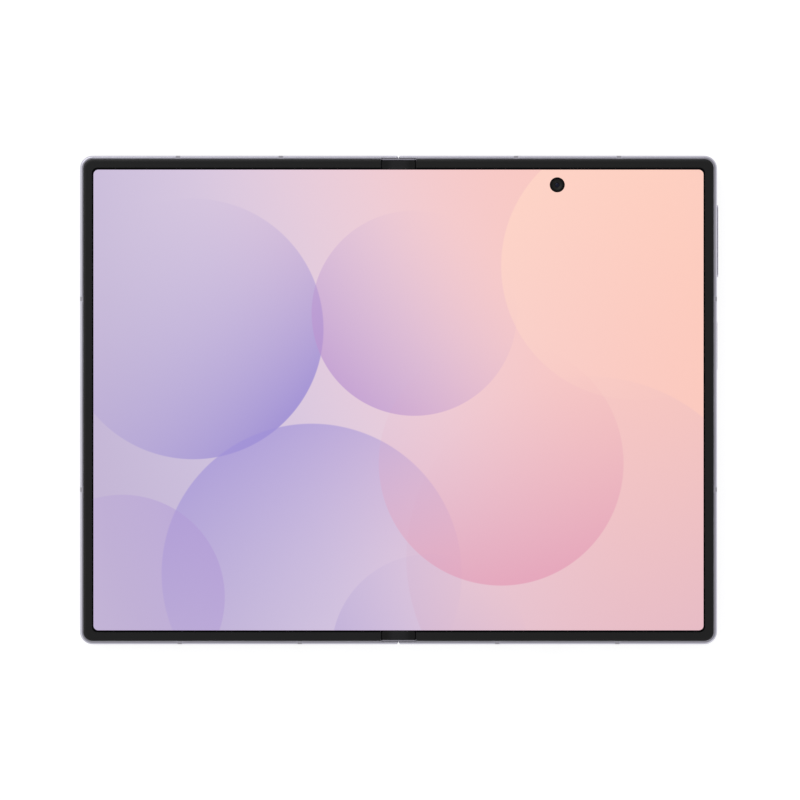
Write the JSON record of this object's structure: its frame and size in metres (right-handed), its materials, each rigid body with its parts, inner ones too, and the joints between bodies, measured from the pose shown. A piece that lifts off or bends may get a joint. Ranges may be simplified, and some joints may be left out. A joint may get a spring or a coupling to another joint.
{
  "type": "folding phone",
  "caption": "Book-style folding phone lying open: rounded metal frames, wide folding screen with raised rim and camera hole, geared twin-axis hinge, keys, card tray and rear camera island.",
  "frame": {"origin": "middle of the opened phone's outline, on the plane that the camera rings rest on", "axes": "+X towards the half with the keys, +Y up the fold towards the inner camera's end, +Z out of the inner screen"},
  "size_m": [0.1618, 0.1238, 0.0069],
  "materials": {
    "frame_metal": "satin, pale lavender silver",
    "antenna_plastic": "satin",
    "rear_glass": "frosted, opaque lavender backing",
    "black_glass": "polished, opaque black backing",
    "folding_screen": "polished, lit",
    "outer_screen": "polished, switched off",
    "rim_plastic": "fine satin",
    "ring_metal": "polished",
    "steel": "machined",
    "gear_brass": "machined",
    "copper": "drawn",
    "circuit_board": "solder mask",
    "flex_film": "amber film",
    "battery_pouch": "dark film over foil",
    "black_plastic": "satin",
    "flash_lens": "diffusing"
  },
  "bodies": {
    "main_half": {"main_frame": "frame_metal", "main_antenna_breaks": "antenna_plastic", "rear_glass": "rear_glass", "main_screen_rim": "rim_plastic", "inner_screen_main": "folding_screen", "main_wing_plate": "steel", "main_rail_arms": "steel", "main_arm_screws": "steel", "camera_island": "frame_metal", "camera_rings": "ring_metal", "camera_windows": "black_glass", "camera_modules": "black_plastic", "flash_window": "flash_lens", "inner_camera": "black_plastic", "main_board": "circuit_board", "board_shields": "steel", "main_battery": "battery_pouch", "charging_coil": "copper", "port_shell": "steel", "port_tongue": "black_plastic", "bottom_board": "circuit_board", "loudspeaker": "black_plastic", "haptic_motor": "steel", "key_switches": "steel", "main_magnets": "steel", "card_reader": "steel"},
    "volume_key": {"volume_key": "frame_metal"},
    "side_key": {"side_key": "frame_metal"},
    "card_tray": {"card_tray": "frame_metal"},
    "spine": {"spine_shell": "frame_metal", "hinge_bases": "steel", "spine_caps": "rim_plastic", "idler_shafts": "steel", "cam_yokes": "steel", "detent_springs": "steel", "inner_screen_fold": "folding_screen", "fold_flex": "flex_film"},
    "cover_half": {"cover_frame": "frame_metal", "cover_antenna_breaks": "antenna_plastic", "cover_glass": "black_glass", "cover_panel": "outer_screen", "cover_screen_rim": "rim_plastic", "inner_screen_cover": "folding_screen", "cover_wing_plate": "steel", "cover_rail_arms": "steel", "cover_arm_screws": "steel", "cover_camera": "black_plastic", "cover_battery": "battery_pouch", "cover_board": "circuit_board", "earpiece": "black_plastic", "cover_magnets": "steel"},
    "main_timing": {"main_timing_arms": "gear_brass", "main_timing_shafts": "steel"},
    "cover_timing": {"cover_timing_arms": "gear_brass", "cover_timing_shafts": "steel"},
    "main_idler": {"main_idlers": "gear_brass"},
    "cover_idler": {"cover_idlers": "gear_brass"}
  },
  "joints": [
    {"name": "main_fold", "type": "hinge", "parent": "spine", "child": "main_half", "pos_m": [0.0008, 0, 0.00615], "axis": [0, -1, 0], "range_deg": [0, 90], "deforming": ["inner_screen_fold", "fold_flex"]},
    {"name": "cover_fold", "type": "hinge", "parent": "spine", "child": "cover_half", "pos_m": [-0.0008, 0, 0.00615], "axis": [0, 1, 0], "range_deg": [0, 90]},
    {"name": "main_timing_turn", "type": "hinge", "parent": "spine", "child": "main_timing", "pos_m": [0.00212, 0, 0.00483], "axis": [0, 1, 0], "range_deg": [-90, 0]},
    {"name": "cover_timing_turn", "type": "hinge", "parent": "spine", "child": "cover_timing", "pos_m": [-0.00212, 0, 0.00483], "axis": [0, 1, 0], "range_deg": [0, 90]},
    {"name": "main_idler_turn", "type": "hinge", "parent": "spine", "child": "main_idler", "pos_m": [0.00073, 0, 0.00436], "axis": [0, 1, 0], "range_deg": [0, 90]},
    {"name": "cover_idler_turn", "type": "hinge", "parent": "spine", "child": "cover_idler", "pos_m": [-0.00073, 0, 0.00436], "axis": [0, 1, 0], "range_deg": [-90, 0]},
    {"name": "volume_rock", "type": "hinge", "parent": "main_half", "child": "volume_key", "pos_m": [0.08015, 0.0403, 0.00422], "axis": [0, 0, 1], "range_deg": [-1.2, 1.2], "stiffness_Nm_per_rad": 0.6},
    {"name": "side_press", "type": "slide", "parent": "main_half", "child": "side_key", "axis": [-1, 0, 0], "range_m": [0, 0.00025], "stiffness_N_per_m": 6000},
    {"name": "tray_slide", "type": "slide", "parent": "main_half", "child": "card_tray", "axis": [0, -1, 0], "range_m": [0, 0.0165]}
  ],
  "couplings": [
    {"joint": "cover_fold", "follows": "main_fold", "ratio": 1},
    {"joint": "main_timing_turn", "follows": "main_fold", "ratio": -1},
    {"joint": "cover_timing_turn", "follows": "main_fold", "ratio": 1},
    {"joint": "main_idler_turn", "follows": "main_fold", "ratio": 1},
    {"joint": "cover_idler_turn", "follows": "main_fold", "ratio": -1}
  ]
}
